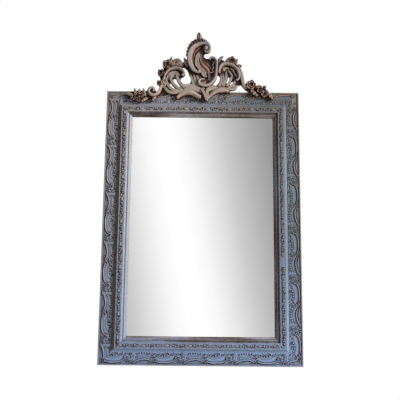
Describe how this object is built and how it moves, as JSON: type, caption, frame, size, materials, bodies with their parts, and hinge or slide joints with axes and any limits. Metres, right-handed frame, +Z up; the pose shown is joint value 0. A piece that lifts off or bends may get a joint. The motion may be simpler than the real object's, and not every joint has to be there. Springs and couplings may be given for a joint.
{
  "type": "pediment mirror",
  "caption": "Tall wall mirror in a mitred painted frame with running scroll ornament, under a pierced rocaille crest of scrolls, shell, leaves and flower garlands.",
  "frame": {"origin": "middle of the frame's bottom edge, on the plane of its back", "axes": "+Z up the mirror, +X to the viewer's right, the glass faces -Y and the wall is on the +Y side"},
  "size_m": [1, 0.0801, 1.698],
  "materials": {
    "painted_wood": "worn grey-blue paint with dark wax in the recesses",
    "painted_ornament": "worn grey-blue paint, rubbed through to ochre on the high edges",
    "painted_carving": "worn warm grey paint, dark wax in the recesses, ochre on the edges",
    "mirror": "silvered plate glass",
    "backing_board": "plain board",
    "bare_wood": "planed softwood",
    "steel": "zinc-plated",
    "brass": "dull",
    "rubber": "matte"
  },
  "bodies": {
    "frame": {"back_panel": "backing_board", "bottom_rail": "painted_wood", "bottom_rail_leaf_run": "painted_ornament", "bottom_rail_scrolls": "painted_ornament", "bottom_rail_sight_slip": "painted_wood", "button_screws": "brass", "corner_plate_screws": "steel", "corner_plates": "steel", "crest_base_leaves": "painted_carving", "crest_comb": "painted_carving", "crest_dowels": "bare_wood", "crest_finial": "painted_carving", "crest_ground": "painted_carving", "crest_left_arch": "painted_carving", "crest_left_flowers": "painted_carving", "crest_left_fronds": "painted_carving", "crest_left_garland": "painted_carving", "crest_main_scroll": "painted_carving", "crest_right_arch": "painted_carving", "crest_right_flowers": "painted_carving", "crest_right_fronds": "painted_carving", "crest_right_garland": "painted_carving", "crest_right_scroll": "painted_carving", "crest_screws": "steel", "crest_shell": "painted_carving", "crest_supports": "bare_wood", "glass_setting_blocks": "bare_wood", "hanger_screws": "steel", "left_hanger_strap": "steel", "left_stile": "painted_wood", "left_stile_leaf_run": "painted_ornament", "left_stile_scrolls": "painted_ornament", "left_stile_sight_slip": "painted_wood", "mirror_glass": "mirror", "mitre_keys": "bare_wood", "right_hanger_strap": "steel", "right_stile": "painted_wood", "right_stile_leaf_run": "painted_ornament", "right_stile_scrolls": "painted_ornament", "right_stile_sight_slip": "painted_wood", "top_rail": "painted_wood", "top_rail_leaf_run": "painted_ornament", "top_rail_scrolls": "painted_ornament", "top_rail_sight_slip": "painted_wood", "wall_bumpers": "rubber"},
    "bottom_rail_button_1": {"bottom_rail_button_1": "brass"},
    "left_hanger_ring": {"left_hanger_ring": "steel"},
    "left_stile_button_1": {"left_stile_button_1": "brass"},
    "left_stile_button_2": {"left_stile_button_2": "brass"},
    "right_hanger_ring": {"right_hanger_ring": "steel"},
    "right_stile_button_1": {"right_stile_button_1": "brass"},
    "right_stile_button_2": {"right_stile_button_2": "brass"},
    "top_rail_button_1": {"top_rail_button_1": "brass"}
  },
  "joints": [
    {"name": "left_stile_button_1_turn", "type": "hinge", "parent": "frame", "child": "left_stile_button_1", "pos_m": [-0.398, -0.0123, 0.3864], "axis": [0, 1, 0], "range_deg": [-90, 90]},
    {"name": "left_stile_button_2_turn", "type": "hinge", "parent": "frame", "child": "left_stile_button_2", "pos_m": [-0.398, -0.0123, 0.9936], "axis": [0, 1, 0], "range_deg": [-90, 90]},
    {"name": "top_rail_button_1_turn", "type": "hinge", "parent": "frame", "child": "top_rail_button_1", "pos_m": [0, -0.0123, 1.278], "axis": [0, 1, 0], "range_deg": [-90, 90]},
    {"name": "right_stile_button_1_turn", "type": "hinge", "parent": "frame", "child": "right_stile_button_1", "pos_m": [0.398, -0.0123, 0.9936], "axis": [0, 1, 0], "range_deg": [-90, 90]},
    {"name": "right_stile_button_2_turn", "type": "hinge", "parent": "frame", "child": "right_stile_button_2", "pos_m": [0.398, -0.0123, 0.3864], "axis": [0, 1, 0], "range_deg": [-90, 90]},
    {"name": "bottom_rail_button_1_turn", "type": "hinge", "parent": "frame", "child": "bottom_rail_button_1", "pos_m": [0, -0.0123, 0.102], "axis": [0, 1, 0], "range_deg": [-90, 90]},
    {"name": "left_ring_swing", "type": "hinge", "parent": "frame", "child": "left_hanger_ring", "pos_m": [-0.46, 0.0048, 1.05], "axis": [1, 0, 0], "range_deg": [0, 180]},
    {"name": "right_ring_swing", "type": "hinge", "parent": "frame", "child": "right_hanger_ring", "pos_m": [0.46, 0.0048, 1.05], "axis": [1, 0, 0], "range_deg": [0, 180]}
  ]
}
